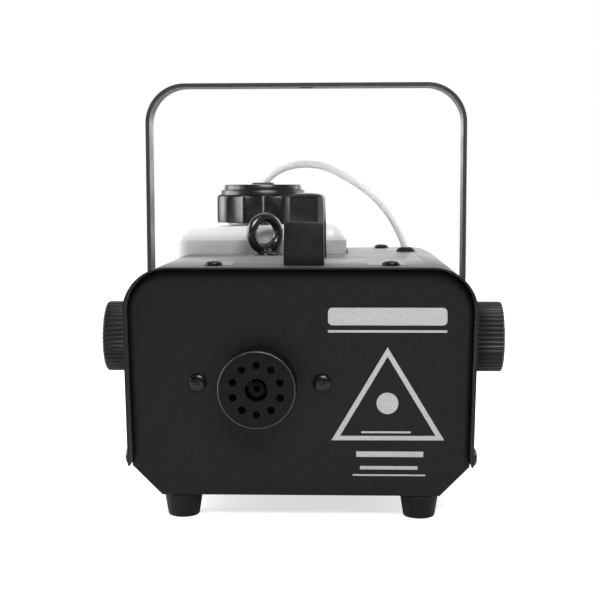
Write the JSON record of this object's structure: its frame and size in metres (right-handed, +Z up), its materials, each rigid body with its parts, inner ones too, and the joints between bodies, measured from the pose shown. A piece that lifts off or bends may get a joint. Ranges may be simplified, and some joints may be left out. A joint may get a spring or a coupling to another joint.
{
  "type": "fog machine",
  "caption": "Compact stage fog machine: steel housing on rubber feet, round fog outlet, lift-out tank, carry handle, eyebolt and clamped hanging bracket.",
  "frame": {"origin": "centre of the base of the bounding box, on the plane that the feet stand on, within about 2 mm because the left knob stands 4 mm further out than the right", "axes": "+X to the right seen from the fog outlet's side, +Y from the fog outlet to the rear panel, +Z up"},
  "size_m": [0.2854, 0.2708, 0.2823],
  "materials": {
    "powder_coat": "fine-textured matte black powder coat",
    "inner_steel": "plain zinc-plated sheet",
    "black_plastic": "moulded black plastic with a fine grain",
    "gloss_plastic": "glossy black plastic",
    "milky_plastic": "translucent milky white polythene",
    "clear_hose": "translucent white silicone hose",
    "black_screw": "black-oxide steel with a low gloss",
    "rubber": "matte black rubber",
    "zinc": "zinc-plated steel",
    "aluminium": "cast aluminium, dull",
    "board_green": "green circuit board with dark components",
    "copper_pipe": "bare copper tube"
  },
  "bodies": {
    "housing": {"top_cover": "powder_coat", "base_pan": "powder_coat", "front_panel": "powder_coat", "rear_panel": "powder_coat", "nozzle_cover": "black_plastic", "nozzle_screw_left": "black_screw", "nozzle_screw_right": "black_screw", "outlet_pipe": "zinc", "heater_block": "aluminium", "heater_guard": "inner_steel", "heater_stand_front": "inner_steel", "heater_stand_rear": "inner_steel", "thermostat": "zinc", "pump_body": "zinc", "pump_bracket": "inner_steel", "pump_feed_hose": "clear_hose", "heater_feed_pipe": "copper_pipe", "control_board": "board_green", "tank_tray": "inner_steel", "fluid_hose": "clear_hose", "hose_grommet": "rubber", "carry_handle": "black_plastic", "handle_screw_front": "zinc", "handle_screw_rear": "zinc", "eyebolt": "black_screw", "eyebolt_nut": "zinc", "left_weld_nut": "zinc", "right_weld_nut": "zinc", "mains_inlet": "black_plastic", "fuse_holder": "black_plastic", "switch_frame": "black_plastic", "remote_socket": "black_plastic", "foot_front_left": "rubber", "foot_screw_front_left": "zinc", "deck_screw_front_left": "black_screw", "side_screw_front_left": "black_screw", "foot_front_right": "rubber", "foot_screw_front_right": "zinc", "deck_screw_front_right": "black_screw", "side_screw_front_right": "black_screw", "foot_rear_left": "rubber", "foot_screw_rear_left": "zinc", "deck_screw_rear_left": "black_screw", "side_screw_rear_left": "black_screw", "foot_rear_right": "rubber", "foot_screw_rear_right": "zinc", "deck_screw_rear_right": "black_screw", "side_screw_rear_right": "black_screw"},
    "bracket": {"hanging_bracket": "powder_coat"},
    "left_clamp": {"left_knob": "black_plastic", "left_knob_stud": "zinc", "left_washer": "zinc"},
    "right_clamp": {"right_knob": "black_plastic", "right_knob_stud": "zinc", "right_washer": "zinc"},
    "tank": {"fluid_tank": "milky_plastic", "pickup_tube": "clear_hose"},
    "cap": {"tank_cap": "gloss_plastic"},
    "fuse": {"fuse_cap": "black_plastic"},
    "rocker": {"switch_rocker": "gloss_plastic"}
  },
  "joints": [
    {"name": "bracket_tilt", "type": "hinge", "parent": "housing", "child": "bracket", "pos_m": [0, 0.0094, 0.1016], "axis": [1, 0, 0], "range_deg": [-105, 105]},
    {"name": "left_knob_turn", "type": "hinge", "parent": "housing", "child": "left_clamp", "pos_m": [0, 0.0094, 0.1016], "axis": [-1, 0, 0], "range_deg": [0, 360]},
    {"name": "right_knob_turn", "type": "hinge", "parent": "housing", "child": "right_clamp", "pos_m": [0, 0.0094, 0.1016], "axis": [1, 0, 0], "range_deg": [0, 360]},
    {"name": "tank_lift", "type": "slide", "parent": "housing", "child": "tank", "axis": [0, 0, 1], "range_m": [0, 0.09], "deforming": ["fluid_hose"]},
    {"name": "tank_cap_turn", "type": "hinge", "parent": "tank", "child": "cap", "pos_m": [-0.035, 0.071, 0.2], "axis": [0, 0, 1], "range_deg": [0, 360]},
    {"name": "fuse_cap_turn", "type": "hinge", "parent": "housing", "child": "fuse", "pos_m": [0.022, 0.13, 0.048], "axis": [0, -1, 0], "range_deg": [0, 90]},
    {"name": "power_switch_rock", "type": "hinge", "parent": "housing", "child": "rocker", "pos_m": [-0.062, 0.121, 0.048], "axis": [1, 0, 0], "range_deg": [0, 16]}
  ]
}
